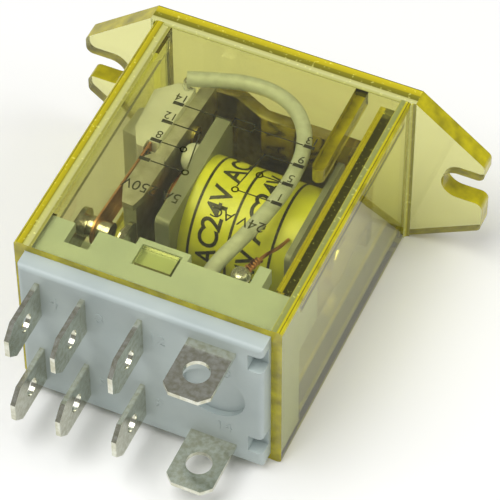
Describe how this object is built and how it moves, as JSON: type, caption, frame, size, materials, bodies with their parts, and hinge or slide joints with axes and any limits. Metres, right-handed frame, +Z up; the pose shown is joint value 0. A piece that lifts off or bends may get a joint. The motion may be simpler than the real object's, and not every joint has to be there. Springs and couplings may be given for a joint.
{
  "type": "plug in relay",
  "caption": "Plug-in power relay with a clear yellow cover and slotted mounting ears, open blades at one end, and a hinged armature, coil and contacts inside.",
  "frame": {"origin": "centre of the relay's footprint on the surface that it lies on, midway between blade tips and mounting plate", "axes": "+Z up, +Y from the blade tips to the mounting plate, +X to the coil's side"},
  "size_m": [0.0434, 0.0414, 0.02],
  "materials": {
    "clear_yellow": "clear, yellow tint",
    "base_grey": "satin",
    "tinned": "tin plated",
    "contact_silver": "bright",
    "bronze_spring": "satin",
    "plated_steel": "yellow zinc plated",
    "soft_iron": "plain",
    "copper": "bright",
    "bobbin_grey": "satin",
    "tape_yellow": "printed film",
    "white_plastic": "satin",
    "lead_white": "satin",
    "solder": "bright"
  },
  "bodies": {
    "case": {"cover": "clear_yellow", "base": "base_grey", "bobbin": "bobbin_grey", "coil_winding": "copper", "coil_tape": "tape_yellow", "core": "soft_iron", "yoke": "plated_steel", "shading_ring": "copper", "stop_pad": "white_plastic", "return_spring": "bronze_spring", "spring_rivets": "soft_iron", "break_contact_upper": "contact_silver", "break_contact_lower": "contact_silver", "make_contact_upper": "contact_silver", "make_contact_lower": "contact_silver", "lead_upper": "lead_white", "lead_lower": "lead_white", "solder_13": "solder", "solder_14": "solder", "coil_lead_13": "copper", "coil_lead_14": "copper", "terminal_1": "tinned", "terminal_4": "tinned", "terminal_5": "tinned", "terminal_8": "tinned", "terminal_9": "tinned", "terminal_12": "tinned", "terminal_13": "tinned", "terminal_14": "tinned"},
    "armature_set": {"armature": "plated_steel", "contact_carrier": "white_plastic", "carrier_rivets": "soft_iron", "moving_spring_upper": "bronze_spring", "moving_spring_lower": "bronze_spring", "moving_contact_upper": "contact_silver", "moving_contact_lower": "contact_silver"}
  },
  "joints": [
    {"name": "armature_hinge", "type": "hinge", "parent": "case", "child": "armature_set", "pos_m": [-0.006, 0.01595, 0.01], "axis": [0, 0, 1], "range_deg": [0, 2.7], "stiffness_Nm_per_rad": 0.05, "springref_deg": -2.86}
  ]
}
